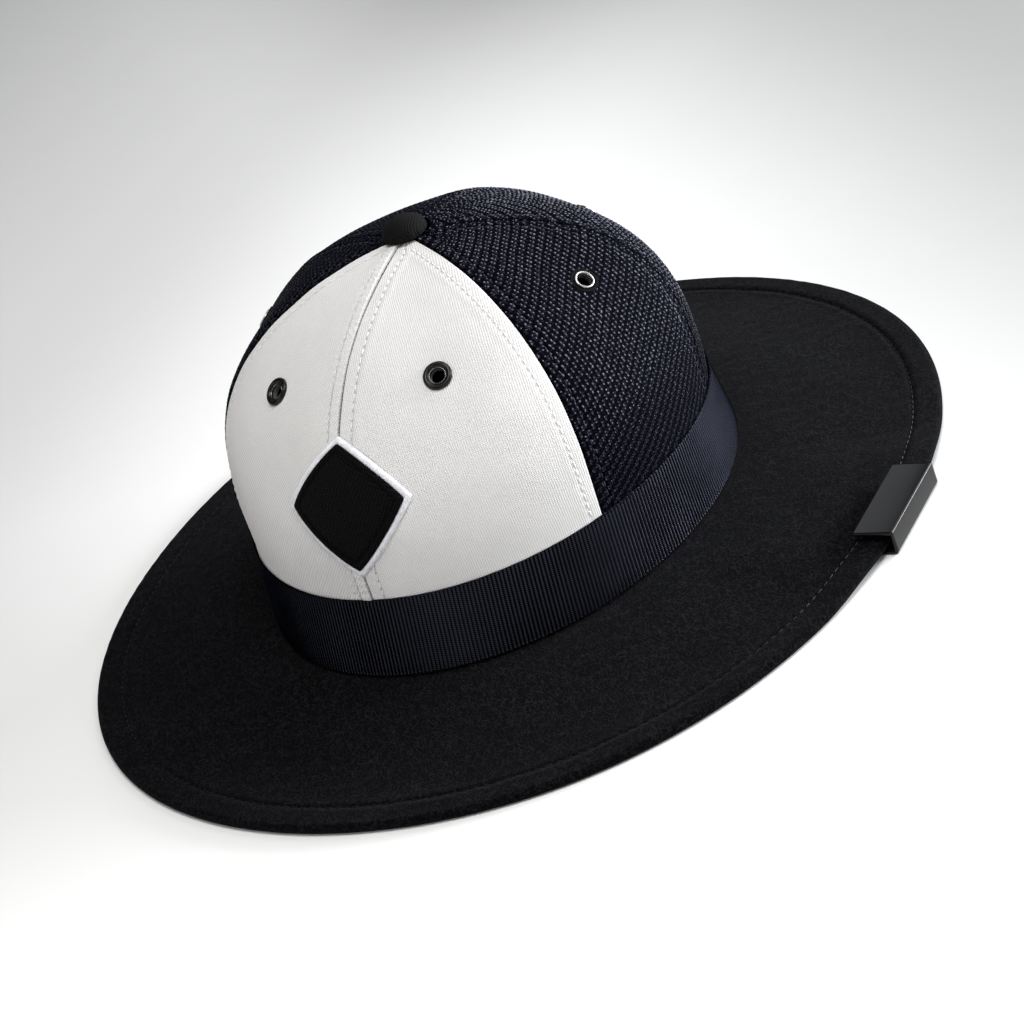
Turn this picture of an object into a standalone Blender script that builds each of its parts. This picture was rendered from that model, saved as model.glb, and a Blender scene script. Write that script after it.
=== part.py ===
"""A wide-brim felt hat with a six-panel cap crown, resting on its brim.

Metres, +Z up. The wearer faces -Y, so +X is the wearer's left. The origin lies on the surface
that the hat rests on, under the middle of the brim. Angles run round the crown from the front
towards the wearer's left. A climb runs up the crown's outer face: 0 where it leaves the brim,
1 at the top edge of the ribbon, 2 at the apex.
"""

import math

import bmesh
import bpy
import numpy as np
from mathutils import Matrix, Vector

# Head opening: half sizes of the oval inside the collar
HEAD_HALF_WIDTH = 0.0863
HEAD_HALF_LENGTH = 0.0958

# Walls, and the clearance between pieces that are sewn or pressed together
FELT_WALL = 0.0020
PANEL_WALL = 0.0012
RIBBON_WALL = 0.0009
GAP = 0.0004
SEAM_GAP = 0.0004

# Brim: its width beyond the ribbon, how much wider it is at the sides than at the ends, how much
# fuller at the four corners between them, and the folded hem that it rests on
BRIM_WIDTH = 0.0737
BRIM_SIDE_FULLNESS = 0.0012
BRIM_SQUARENESS = 0.0014
BRIM_RISE = 0.0046
HEM_WIDTH = 0.0110
HEM_HEIGHT = 0.0034
BREAK_RADIUS = 0.0030
COLLAR_HEIGHT = 0.0060

# Crown: how far it draws in from its foot to the top edge of the ribbon, and the dome above it
RIBBON_HEIGHT = 0.0289
RIBBON_DIP = 0.0015
SIDE_DRAW_IN = 0.0003
END_DRAW_IN = 0.0092
CROWN_HEIGHT = 0.1134
APEX_BACK = 0.0110

# How far the dome stands out at each seam, from the front to the back, as a share of its reach
SEAM_PEAK_SHARES = (0.026, 0.026, 0.038, 0.038)

# Fullness of the dome by the way that it faces, as exponents seen from above and from beside:
# larger is squarer
DOME_EXPONENTS = {
    "front": {"above": 1.80, "beside": 2.85},
    "side": {"above": 2.20, "beside": 3.00},
    "back": {"above": 2.60, "beside": 2.10},
}

# Seams, as angles from the front seam
FRONT_PANEL_ANGLE = math.radians(56.5)
SIDE_PANEL_ANGLE = math.radians(49.5)

# Eyelets: where each lies in its panel, as shares of the panel's angle and of the dome's climb
EYELET_PLACES = {
    "front": {"round": 0.538, "up": 0.436},
    "side": {"round": 0.58, "up": 0.436},
    "back": {"round": 0.50, "up": 0.436},
}
EYELET_BORE_RADIUS = 0.0026
EYELET_BARREL_WALL = 0.0007
EYELET_FLANGE_RADIUS = 0.0052
EYELET_FLANGE_HEIGHT = 0.0011
EYELET_WASHER_RADIUS = 0.0043

# Top button
BUTTON_RADIUS = 0.0084
BUTTON_HEIGHT = 0.0072
BUTTON_EDGE = 0.0014
SHANK_RADIUS = 0.0026
SHANK_REACH = 0.0030

# Badge: a lozenge across the front seam
BADGE_HALF_WIDTH = 0.0280
BADGE_HALF_HEIGHT = 0.0250
BADGE_LIFT = 0.0345
BADGE_EXPONENT = 1.12
BADGE_BORDER = 0.0024
BORDER_WALL = 0.0010
BADGE_FELT_WALL = 0.0017

# Clip over the brim's edge: the room between its wall and the rim, and how far beyond its ends
# the brim takes to come down to the surface again
CLIP_ANGLE = math.radians(86.8)
CLIP_LENGTH = 0.0410
CLIP_HEIGHT = 0.0090
CLIP_PLATE_DEPTH = 0.0134
CLIP_JAW_DEPTH = 0.0095
CLIP_WALL = 0.0012
CLIP_CORNER = 0.0015
CLIP_ROOM = 0.0016
CLIP_EASE = 0.0280

# How finely the surfaces are cut into faces
RING_STEPS = 72
BRIM_STEPS = 5
ARC_STEPS = 3
PANEL_STEP = math.radians(5.7)
STAND_ROWS = 2
DOME_ROWS = 10
DOME_CROWDING = 1.5
TURN_STEPS = 12
BADGE_STEPS = 24
BADGE_RINGS = 4

# Sizes that follow
PANEL_DEPTH = PANEL_WALL + GAP
FOOT_HALF_WIDTH = HEAD_HALF_WIDTH + FELT_WALL + PANEL_DEPTH
FOOT_HALF_LENGTH = HEAD_HALF_LENGTH + FELT_WALL + PANEL_DEPTH
CROWN_HALF_WIDTH = FOOT_HALF_WIDTH - SIDE_DRAW_IN
CROWN_HALF_LENGTH = FOOT_HALF_LENGTH - END_DRAW_IN
BRIM_TOP = HEM_HEIGHT + BRIM_RISE
BRIM_REACH = GAP + RIBBON_WALL + BRIM_WIDTH
HEM_START = BRIM_REACH - HEM_WIDTH
CLIP_LIFT = CLIP_WALL + GAP
TOP_HOLE_RADIUS = SHANK_RADIUS + GAP
SIDE_SEAM = FRONT_PANEL_ANGLE + SIDE_PANEL_ANGLE
SEAMS = (0.0, FRONT_PANEL_ANGLE, SIDE_SEAM, math.pi)
PANELS = {
    "front": (SEAMS[0], SEAMS[1]),
    "side": (SEAMS[1], SEAMS[2]),
    "back": (SEAMS[2], SEAMS[3]),
}
SIDES = {"left": 1, "right": -1}

# Finishes: colour, roughness, metallic
FINISHES = {
    "black_felt": ((0.010, 0.010, 0.012), 0.95, 0.0),
    "white_twill": ((0.760, 0.740, 0.710), 0.85, 0.0),
    "navy_knit": ((0.014, 0.016, 0.032), 0.80, 0.0),
    "navy_ribbon": ((0.012, 0.014, 0.026), 0.60, 0.0),
    "black_twill": ((0.012, 0.012, 0.012), 0.85, 0.0),
    "white_thread": ((0.780, 0.780, 0.800), 0.60, 0.0),
    "badge_felt": ((0.008, 0.008, 0.009), 0.95, 0.0),
    "black_enamel": ((0.012, 0.012, 0.013), 0.25, 0.6),
    "gunmetal": ((0.060, 0.060, 0.065), 0.35, 1.0),
}


def smooth(share):
    """An even ease from 0 to 1, flat at both ends."""
    share = min(max(share, 0.0), 1.0)
    return (1 - math.cos(math.pi * share)) / 2


# Surfaces of the crown


def ribbon_top(angle):
    """Height of the ribbon's top edge above the brim: it dips at the front and the back."""
    return RIBBON_HEIGHT - RIBBON_DIP * math.cos(2 * angle)


def dome_exponent(angle, view):
    """The dome's exponent in this view, blended by how far the crown faces forward, sideways or back."""
    end = "front" if math.cos(angle) > 0 else "back"
    sideways = math.sin(angle) ** 2
    return DOME_EXPONENTS[end][view] * (1 - sideways) + DOME_EXPONENTS["side"][view] * sideways


def seam_wave(angle):
    """The dome's swelling at the seams and flattening midway between two, as a share of its reach."""
    off_front = abs(math.remainder(angle, 2 * math.pi))
    peak = np.interp(off_front, SEAMS, SEAM_PEAK_SHARES)
    return peak * math.cos(2 * math.pi * np.interp(off_front, SEAMS, range(len(SEAMS))))


def crown_point(angle, climb):
    """A point of the panels' outer face."""
    top = ribbon_top(angle)
    if climb <= 1:
        half_width = FOOT_HALF_WIDTH + (CROWN_HALF_WIDTH - FOOT_HALF_WIDTH) * climb
        half_length = FOOT_HALF_LENGTH + (CROWN_HALF_LENGTH - FOOT_HALF_LENGTH) * climb
        height, rise = top * climb, 0.0
    else:
        turn = min(climb - 1, 1.0) * math.pi / 2
        reach = math.cos(turn) ** (2 / dome_exponent(angle, "above"))
        reach *= 1 + math.sin(2 * turn) * seam_wave(angle)
        rise = math.sin(turn) ** (2 / dome_exponent(angle, "beside"))
        half_width, half_length = CROWN_HALF_WIDTH * reach, CROWN_HALF_LENGTH * reach
        height = top + (CROWN_HEIGHT - top) * rise
    return Vector(
        (
            half_width * math.sin(angle),
            APEX_BACK * rise - half_length * math.cos(angle),
            BRIM_TOP + height,
        )
    )


def crown_normal(angle, climb):
    """The outward direction of the panels' outer face."""
    step = 1e-3
    low = climb - step if climb <= 1 else climb
    along = crown_point(angle + step, climb) - crown_point(angle - step, climb)
    upward = crown_point(angle, low + step) - crown_point(angle, low)
    return along.cross(upward).normalized()


def crown_skin(angle, climb, out):
    """A point at this distance outside the panels' outer face."""
    return crown_point(angle, climb) + crown_normal(angle, climb) * out


def crown_frame(angle, climb):
    """A frame on the panels' outer face with its Z axis pointing outward."""
    outward = crown_normal(angle, climb)
    sideways = Vector((0, 0, 1)).cross(outward).normalized()
    frame = Matrix((sideways, outward.cross(sideways), outward)).transposed().to_4x4()
    frame.translation = crown_point(angle, climb)
    return frame


def climb_at_top_hole(angle):
    """The climb where the panels end, round the button's shank."""
    reach = TOP_HOLE_RADIUS / min(CROWN_HALF_WIDTH, CROWN_HALF_LENGTH)
    turn = math.acos(reach ** (dome_exponent(angle, "above") / 2))
    return 1 + turn / (math.pi / 2)


# Meshes and objects


def grid_mesh(name, rows, ring=False, loop=False):
    """Quads through rows of points. A ring joins each row's ends, a loop the last row to the first."""
    bm = bmesh.new()
    grid = [[bm.verts.new(point) for point in row] for row in rows]
    pairs = list(zip(grid, grid[1:])) + ([(grid[-1], grid[0])] if loop else [])
    for low, high in pairs:
        for i in range(len(low) - (0 if ring else 1)):
            j = (i + 1) % len(low)
            bm.faces.new((low[i], low[j], high[j], high[i]))
    if ring and loop:
        bmesh.ops.recalc_face_normals(bm, faces=bm.faces)
    mesh = bpy.data.meshes.new(name)
    bm.to_mesh(mesh)
    bm.free()
    return mesh


def make_material(name):
    colour, roughness, metallic = FINISHES[name]
    material = bpy.data.materials.new(name)
    material.use_nodes = True
    shader = material.node_tree.nodes["Principled BSDF"]
    shader.inputs["Base Color"].default_value = (*colour, 1)
    shader.inputs["Roughness"].default_value = roughness
    shader.inputs["Metallic"].default_value = metallic
    material.diffuse_color = (*colour, 1)
    return material


def add_part(name, data, material, frame=None):
    """An object of the hat, smooth where its faces meet at less than 35 degrees."""
    if isinstance(data, bpy.types.Mesh):
        data.shade_smooth()
        data.set_sharp_from_angle(angle=math.radians(35))
    if not data.materials:
        data.materials.append(material)
    part = bpy.data.objects.new(name, data)
    part.matrix_world = frame or Matrix.Identity(4)
    bpy.data.collections["hat"].objects.link(part)
    part.parent = bpy.data.objects["hat_origin"]
    return part


def add_wall(part, thickness, outward=False):
    """Gives an open surface its thickness, to the inside unless outward."""
    wall = part.modifiers.new("wall", "SOLIDIFY")
    wall.thickness = thickness
    wall.offset = 1 if outward else -1
    wall.use_even_offset = True


def add_turning(part):
    """Turns a profile in the part's XZ plane about its Z axis."""
    turning = part.modifiers.new("turning", "SCREW")
    turning.steps = turning.render_steps = TURN_STEPS
    turning.use_merge_vertices = True
    turning.merge_threshold = 1e-5
    turning.use_smooth_shade = False


def profile_mesh(name, points, closed):
    """The edges through (distance from the axis, height) pairs."""
    bm = bmesh.new()
    verts = [bm.verts.new((x, 0, z)) for x, z in points]
    for a, b in zip(verts, verts[1:] + (verts[:1] if closed else [])):
        bm.edges.new((a, b))
    mesh = bpy.data.meshes.new(name)
    bm.to_mesh(mesh)
    bm.free()
    return mesh


# Brim


def break_height(out):
    """Height of the curve between collar and brim, at this distance out from the collar."""
    inward = max(BREAK_RADIUS - out, 0.0)
    return BREAK_RADIUS - math.sqrt(BREAK_RADIUS**2 - inward**2)


def foot_height(out, wall):
    """Height of the lower edge of a crown wall whose inner face stands this far out.

    The edge is square to the wall, which leans in most at the front and back, so that its
    inner corner hangs lower.
    """
    lean = math.atan2(max(END_DRAW_IN, 0.0), RIBBON_HEIGHT)
    return break_height(out) + wall * math.sin(lean) + GAP


def clip_hold(angle, out):
    """How far the clip's lower jaw holds the brim off the surface that the hat rests on."""
    along = abs(math.remainder(angle - CLIP_ANGLE, 2 * math.pi)) * (FOOT_HALF_WIDTH + BRIM_REACH)
    beyond = (along - CLIP_LENGTH / 2 - CLIP_EASE / 3) / CLIP_EASE
    return CLIP_LIFT * (1 - smooth(beyond)) * smooth(out / HEM_START)


def outline_swell(angle, out):
    """How far the brim stands out beyond an even width, growing from the crown's foot to the hem."""
    swell = -BRIM_SIDE_FULLNESS * math.cos(2 * angle) - BRIM_SQUARENESS * math.cos(4 * angle)
    return swell * smooth(out / HEM_START)


def brim_point(angle, out, height):
    """A point of the brim, out from the crown's foot and above the brim's top beside it."""
    climb = max(height, 0.0) / RIBBON_HEIGHT
    reach = out + outline_swell(angle, out)
    half_width = FOOT_HALF_WIDTH + (CROWN_HALF_WIDTH - FOOT_HALF_WIDTH) * climb + reach
    half_length = FOOT_HALF_LENGTH + (CROWN_HALF_LENGTH - FOOT_HALF_LENGTH) * climb + reach
    return Vector(
        (
            half_width * math.sin(angle),
            -half_length * math.cos(angle),
            BRIM_TOP + height + clip_hold(angle, out),
        )
    )


def brim_profile():
    """The brim's section as (out, height) pairs: down the collar, out to the rim, back beneath."""
    collar = -PANEL_DEPTH
    centre = collar + BREAK_RADIUS
    turns = [math.pi / 2 * i / ARC_STEPS for i in range(ARC_STEPS + 1)]
    slope = [(i / BRIM_STEPS, smooth(i / BRIM_STEPS)) for i in range(BRIM_STEPS + 1)]
    outs = [centre + (HEM_START - centre) * share for share, _ in slope]
    drops = [-BRIM_RISE * eased for _, eased in slope]
    rim_radius = HEM_HEIGHT / 2
    rim_turns = [math.pi / 2 - math.pi * i / 3 for i in range(4)]

    def bend(turn, radius):
        return centre - radius * math.cos(turn), BREAK_RADIUS - radius * math.sin(turn)

    top = [(collar, COLLAR_HEIGHT)] + [bend(turn, BREAK_RADIUS) for turn in turns]
    top += list(zip(outs, drops))[1:]
    rim = [
        (
            BRIM_REACH - rim_radius * (1 - math.cos(turn)),
            rim_radius * (1 + math.sin(turn)) - BRIM_TOP,
        )
        for turn in rim_turns
    ]
    under = [(HEM_START, -BRIM_TOP)]
    under += [(out, drop - FELT_WALL) for out, drop in zip(outs, drops)][:0:-1]
    under += [bend(turn, BREAK_RADIUS + FELT_WALL) for turn in reversed(turns)]
    return top + rim + under + [(collar - FELT_WALL, COLLAR_HEIGHT)]


def ring_angles():
    return [2 * math.pi * i / RING_STEPS for i in range(RING_STEPS)]


def build_brim(material):
    rows = [
        [brim_point(angle, out, height) for angle in ring_angles()]
        for out, height in brim_profile()
    ]
    add_part("brim", grid_mesh("brim", rows, ring=True, loop=True), material)


# Crown


def panel_climbs(angle):
    """The climbs of a panel's rows, closer together where the crown turns in above the ribbon."""
    foot = foot_height(0.0, PANEL_WALL) / ribbon_top(angle)
    stand = [foot + (1 - foot) * i / STAND_ROWS for i in range(STAND_ROWS)]
    top = climb_at_top_hole(angle) - 1
    dome = [1 + top * (i / DOME_ROWS) ** DOME_CROWDING for i in range(DOME_ROWS + 1)]
    return stand + dome


def panel_rows(start, end):
    """Rows of points of a panel's outer face, clear of each seam by half the seam gap."""
    columns = max(4, round((end - start) / PANEL_STEP))
    rows = []
    for row in range(STAND_ROWS + DOME_ROWS + 1):
        points = []
        for column in range(columns + 1):
            share = column / columns
            angle = start + (end - start) * share
            climb = panel_climbs(angle)[row]
            across = crown_point(angle, climb) - crown_point(angle + math.pi, climb)
            inset = SEAM_GAP / across.xy.length
            points.append(crown_point(angle + inset * (1 - 2 * share), climb))
        rows.append(points)
    return rows


def eyelet_spot(place):
    """The angle and climb of the eyelet in the panel of this name, on the left side."""
    start, end = PANELS[place]
    share = EYELET_PLACES[place]
    return start + (end - start) * share["round"], 1 + share["up"]


def add_hole(panel, name, frame):
    """Cuts the hole that an eyelet's barrel passes through."""
    bm = bmesh.new()
    radius = EYELET_BORE_RADIUS + EYELET_BARREL_WALL + GAP
    bmesh.ops.create_cone(
        bm, cap_ends=True, segments=TURN_STEPS, radius1=radius, radius2=radius, depth=8 * PANEL_WALL
    )
    mesh = bpy.data.meshes.new(name)
    bm.to_mesh(mesh)
    bm.free()
    cutter = bpy.data.objects.new(name, mesh)
    cutter.matrix_world = frame
    cutter.hide_render = True
    cutter.display_type = "WIRE"
    bpy.data.collections["cutters"].objects.link(cutter)
    hole = panel.modifiers.new("eyelet_hole", "BOOLEAN")
    hole.operation = "DIFFERENCE"
    hole.solver = "EXACT"
    hole.object = cutter


def build_panel(place, side, material):
    start, end = PANELS[place]
    if SIDES[side] < 0:
        start, end = -end, -start
    name = f"{place}_panel_{side}"
    panel = add_part(name, grid_mesh(name, panel_rows(start, end)), material)
    add_wall(panel, PANEL_WALL)
    angle, climb = eyelet_spot(place)
    add_hole(panel, f"{place}_hole_{side}", crown_frame(SIDES[side] * angle, climb))


def build_ribbon(material):
    foot = foot_height(PANEL_DEPTH + GAP, RIBBON_WALL)
    shares = [0.0, 0.4, 0.8, 1.0]
    rows = []
    for out, order in ((GAP, shares), (GAP + RIBBON_WALL, shares[::-1])):
        for share in order:
            rows.append(
                [
                    crown_skin(a, foot / ribbon_top(a) * (1 - share) + share, out)
                    for a in ring_angles()
                ]
            )
    add_part("hat_band", grid_mesh("hat_band", rows, ring=True, loop=True), material)


# Eyelets and button


def build_eyelet(place, side, material):
    """A flanged barrel, its flange outside the panel and a washer behind it.

    The washer keeps a double gap, because the panel's flat faces dip inside its true curve.
    """
    barrel = EYELET_BORE_RADIUS + EYELET_BARREL_WALL
    top = GAP + EYELET_FLANGE_HEIGHT
    back = -(PANEL_WALL + 2 * GAP)
    washer = back - EYELET_BARREL_WALL
    profile = [
        (barrel, top),
        (EYELET_FLANGE_RADIUS - EYELET_FLANGE_HEIGHT / 2, top),
        (EYELET_FLANGE_RADIUS, GAP + EYELET_FLANGE_HEIGHT / 2),
        (EYELET_FLANGE_RADIUS - EYELET_FLANGE_HEIGHT / 3, GAP),
        (barrel, GAP),
        (barrel, back),
        (EYELET_WASHER_RADIUS, back),
        (EYELET_WASHER_RADIUS, washer),
        (EYELET_BORE_RADIUS, washer),
        (EYELET_BORE_RADIUS, top - EYELET_BARREL_WALL),
    ]
    name = f"{place}_eyelet_{side}"
    angle, climb = eyelet_spot(place)
    frame = crown_frame(SIDES[side] * angle, climb)
    add_turning(add_part(name, profile_mesh(name, profile, closed=True), material, frame))


def build_button(material):
    """A high dome with a shank through the panels' top opening."""
    rounding = 5
    dome = [
        (
            BUTTON_RADIUS * math.sin(math.pi / 2 * i / rounding),
            BUTTON_EDGE + (BUTTON_HEIGHT - BUTTON_EDGE) * math.cos(math.pi / 2 * i / rounding),
        )
        for i in range(rounding + 1)
    ]
    profile = dome + [
        (BUTTON_RADIUS - BUTTON_EDGE / 2, 0.0),
        (SHANK_RADIUS, 0.0),
        (SHANK_RADIUS, -SHANK_REACH),
        (0.0, -SHANK_REACH),
    ]
    apex = Vector((0, APEX_BACK, BRIM_TOP + CROWN_HEIGHT + GAP))
    mesh = profile_mesh("top_button", profile, closed=False)
    add_turning(add_part("top_button", mesh, material, Matrix.Translation(apex)))


# Badge


def badge_point(turn, inset, out, scale=1.0):
    """A point of the lozenge: round it by turn, in from its edge, and out from the crown."""
    to_side = BADGE_HALF_WIDTH * BADGE_HALF_HEIGHT / math.hypot(BADGE_HALF_WIDTH, BADGE_HALF_HEIGHT)
    scale *= 1 - inset / to_side
    cosine, sine = math.cos(turn), math.sin(turn)
    across = BADGE_HALF_WIDTH * scale * math.copysign(abs(cosine) ** (2 / BADGE_EXPONENT), cosine)
    up = BADGE_HALF_HEIGHT * scale * math.copysign(abs(sine) ** (2 / BADGE_EXPONENT), sine)
    climbs = np.linspace(1.0, 1.8, 81)
    points = np.array([crown_point(0, climb) for climb in climbs])
    lengths = np.concatenate([[0], np.cumsum(np.linalg.norm(np.diff(points, axis=0), axis=1))])
    climb = float(np.interp(BADGE_LIFT + up, lengths, climbs))
    reach = -(crown_point(0, climb).y - APEX_BACK)
    return crown_skin(across / reach, climb, out)


def badge_turns():
    """Turns spaced evenly along the lozenge's sides."""
    steps = BADGE_STEPS // 4
    quarter = [math.atan2((i / steps) ** 0.5, (1 - i / steps) ** 0.5) for i in range(steps)]
    return [turn + math.pi / 2 * corner for corner in range(4) for turn in quarter]


def build_badge_border(material):
    outer, inner = 0.0, BADGE_BORDER
    section = [(outer, GAP), (outer, GAP + BORDER_WALL), (inner, GAP + BORDER_WALL), (inner, GAP)]
    rows = [[badge_point(turn, inset, out) for turn in badge_turns()] for inset, out in section]
    add_part("badge_border", grid_mesh("badge_border", rows, ring=True, loop=True), material)


def build_badge_felt(material):
    inset = BADGE_BORDER + GAP
    centre_scale = 0.02
    scales = [centre_scale + (1 - centre_scale) * i / BADGE_RINGS for i in range(BADGE_RINGS + 1)]
    rows = [
        [badge_point(turn, inset, out, scale) for turn in badge_turns()]
        for out, order in ((GAP, scales), (GAP + BADGE_FELT_WALL, scales[::-1]))
        for scale in order
    ]
    mesh = grid_mesh("badge_felt", rows, ring=True)
    bm = bmesh.new()
    bm.from_mesh(mesh)
    bmesh.ops.holes_fill(bm, edges=[edge for edge in bm.edges if edge.is_boundary])
    bmesh.ops.recalc_face_normals(bm, faces=bm.faces)
    bm.to_mesh(mesh)
    bm.free()
    add_part("badge_felt", mesh, material)


# Clip


def clip_outline():
    """The clip's section, outward and upward from the foot of its outer wall."""
    inner = -CLIP_WALL
    top = CLIP_HEIGHT - CLIP_WALL
    plate = inner - CLIP_PLATE_DEPTH
    jaw = inner - CLIP_JAW_DEPTH
    corner = CLIP_CORNER
    turns = [math.pi / 2 * i / ARC_STEPS for i in range(ARC_STEPS + 1)]
    low = [(corner * (math.sin(t) - 1), corner * (1 - math.cos(t))) for t in turns]
    high = [(corner * (math.cos(t) - 1), CLIP_HEIGHT - corner * (1 - math.sin(t))) for t in turns]
    inside = [(plate, CLIP_HEIGHT), (plate, top), (inner, top), (inner, CLIP_WALL)]
    return [(jaw, 0.0)] + low + high + inside + [(jaw, CLIP_WALL)]


def build_clip(material):
    curve = bpy.data.curves.new("brim_clip", "CURVE")
    curve.dimensions = "2D"
    curve.fill_mode = "BOTH"
    curve.extrude = CLIP_LENGTH / 2
    outline = clip_outline()
    spline = curve.splines.new("POLY")
    spline.points.add(len(outline) - 1)
    for point, (out, up) in zip(spline.points, outline):
        point.co = (out, up, 0, 1)
    spline.use_cyclic_u = True
    rim = brim_point(CLIP_ANGLE, BRIM_REACH, 0.0)
    step = 0.01
    along = brim_point(CLIP_ANGLE + step, BRIM_REACH, 0.0) - brim_point(CLIP_ANGLE - step, BRIM_REACH, 0.0)
    outward = Vector((along.y, -along.x, 0)).normalized()
    upward = Vector((0, 0, 1))
    frame = Matrix((outward, upward, outward.cross(upward))).transposed().to_4x4()
    frame.translation = Vector((rim.x, rim.y, 0)) + outward * (CLIP_ROOM + CLIP_WALL)
    add_part("brim_clip", curve, material, frame)


def clear_scene():
    for thing in list(bpy.data.objects):
        bpy.data.objects.remove(thing)
    for name in ("hat", "cutters"):
        bpy.context.scene.collection.children.link(bpy.data.collections.new(name))
    bpy.data.collections["hat"].objects.link(bpy.data.objects.new("hat_origin", None))


def main():
    clear_scene()
    finish = {name: make_material(name) for name in FINISHES}
    build_brim(finish["black_felt"])
    for side in SIDES:
        for place in PANELS:
            cloth = "white_twill" if place == "front" else "navy_knit"
            metal = "black_enamel" if place == "front" else "gunmetal"
            build_panel(place, side, finish[cloth])
            build_eyelet(place, side, finish[metal])
    build_ribbon(finish["navy_ribbon"])
    build_button(finish["black_twill"])
    build_badge_border(finish["white_thread"])
    build_badge_felt(finish["badge_felt"])
    build_clip(finish["gunmetal"])


main()
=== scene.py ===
import math

import bpy
import numpy as np
from mathutils import Matrix, Vector


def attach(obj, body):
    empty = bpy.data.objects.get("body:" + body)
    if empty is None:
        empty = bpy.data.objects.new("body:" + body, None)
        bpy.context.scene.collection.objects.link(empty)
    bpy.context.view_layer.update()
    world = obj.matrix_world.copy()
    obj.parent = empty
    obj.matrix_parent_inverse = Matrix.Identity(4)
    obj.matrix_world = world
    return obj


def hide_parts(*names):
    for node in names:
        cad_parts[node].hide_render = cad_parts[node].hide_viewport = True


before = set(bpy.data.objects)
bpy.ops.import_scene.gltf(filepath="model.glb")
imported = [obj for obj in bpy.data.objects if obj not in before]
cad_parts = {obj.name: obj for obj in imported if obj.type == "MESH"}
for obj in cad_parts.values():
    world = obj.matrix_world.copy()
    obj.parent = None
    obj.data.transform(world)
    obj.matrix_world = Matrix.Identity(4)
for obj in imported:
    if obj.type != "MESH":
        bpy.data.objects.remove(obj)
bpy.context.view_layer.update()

# Metres, +Z up, -Y the way the wearer faces, +X the wearer's left. Angles run round the crown
# from the front towards +X. A climb runs up the crown: 0 at its foot, 1 at the ribbon's top
# edge, 2 at the apex. The first sizes are those of the solids.
FELT_WALL = 0.0020
PANEL_WALL = 0.0012
GAP = 0.0004
FOOT = (0.0899, 0.0994)
CROWN = (0.0896, 0.0902)
RIBBON_HEIGHT = 0.0289
RIBBON_DIP = 0.0015
CROWN_HEIGHT = 0.1134
APEX_BACK = 0.0110
SEAM_PEAK_SHARES = (0.026, 0.026, 0.038, 0.038)
DOME_EXPONENTS = {"front": (1.80, 2.85), "side": (2.20, 3.00), "back": (2.60, 2.10)}
SEAMS = (0.0, math.radians(56.5), math.radians(106.0), math.pi)
BRIM_TOP = 0.0080
BRIM_RISE = 0.0046
BRIM_REACH = 0.0750
BRIM_SIDE_FULLNESS = 0.0012
BRIM_SQUARENESS = 0.0014
HEM_WIDTH = 0.0110
HEM_START = BRIM_REACH - HEM_WIDTH
BREAK_RADIUS = 0.0030
COLLAR_HEIGHT = 0.0060
EYELETS = {"front": (0.538, 1.436), "side": (0.58, 1.436), "back": (0.50, 1.436)}
EYELET_RADIUS = 0.0052
BORE_RADIUS = 0.0026
BUTTON_RADIUS = 0.0084
BUTTON_HEIGHT = 0.0072
SHANK_RADIUS = 0.0026
SHANK_REACH = 0.0030
BADGE_HALF = (0.0280, 0.0250)
BADGE_TO_SIDE = BADGE_HALF[0] * BADGE_HALF[1] / math.hypot(*BADGE_HALF)
BADGE_LIFT = 0.0345
BADGE_EXPONENT = 1.12
BADGE_BORDER = 0.0024
CLIP_ANGLE = math.radians(86.8)
CLIP_LENGTH = 0.0410
CLIP_HEIGHT = 0.0090
CLIP_PLATE_DEPTH = 0.0134
CLIP_JAW_DEPTH = 0.0095
CLIP_WALL = 0.0012
CLIP_CORNER = 0.0015
CLIP_ROOM = 0.0016
CLIP_EASE = 0.0280

# Cloth: stitches, the ribbon's ribs, the knit's leaning columns and their knots, and the felt's nap.
# The nap's angle is the way the fibres are brushed, its stretch how much longer they look.
STITCH_PITCH = 0.0032
STITCH_LENGTH = 0.0024
STITCH_START = 0.0012
STITCH_END_CLIMB = 1.90
STITCH_RADIUS = 0.00027
BRIM_STITCH = HEM_START + 0.0005
BRIM_STITCH_PITCH = 0.0036
BRIM_STITCH_LENGTH = 0.0023
BRIM_STITCH_RADIUS = 0.00014
BRIM_STITCH_LIFT = 0.00010
RIB_PITCH = 0.00145
RIBBON_WEFT = 0.00066
WALE_PITCH = 0.00310
WALE_LEAN = math.radians(62)
KNOT_SPREAD = 0.00070
KNOT_ROW = 0.00220
KNOT_STAGGER = 0.78
# Each side's knot size, which also sets their painted light: the loops on the wearer's right are smaller and
# painted darker, as painted shade.
KNOT_SIZE_AND_PAINTED_LIGHT = {"left": 1.0, "right": 0.62}
BORDER_WRAP = 0.00044
OVERCAST_WRAP = 0.00062
NAP_ANGLE = math.radians(36.728)
NAP_STRETCH = 0.42

# The photograph's view: camera angles in degrees, distance and shift in metres, and lens in millimetres
VIEW_AZIMUTH, VIEW_HEIGHT, VIEW_ROLL = 36.728, 28.629, 23.370
VIEW_DISTANCE, VIEW_SHIFT, VIEW_LENS = 0.945527, (0.002698, -0.001216), 88.464
VIEW_CENTRE = (0.0, 0.0, 0.0084)
SENSOR_WIDTH = 36.0
LIGHTS_AIM = (0.0, 0.0, 0.05)

UP = np.array([0.0, 0.0, 1.0])
APEX = np.array([0, APEX_BACK, BRIM_TOP + CROWN_HEIGHT])
FULL_TURN = 2 * np.pi
FINE_TURNS = np.linspace(0, FULL_TURN, 2881)


# Shapes

def smooth(share):
    return (1 - np.cos(np.pi * np.clip(share, 0, 1))) / 2


def hump(x, centre, width):
    return np.exp(-(((x - centre) / width) ** 2))


def turns_round(count):
    return np.linspace(0, FULL_TURN, count, endpoint=False)


def arc(centre, radii, start, stop, steps):
    """Points round a centre, at angles that are measured from the second axis."""
    turn = np.linspace(start, stop, steps)
    return list(zip(centre[0] + radii[0] * np.sin(turn), centre[1] + radii[1] * np.cos(turn)))


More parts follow.
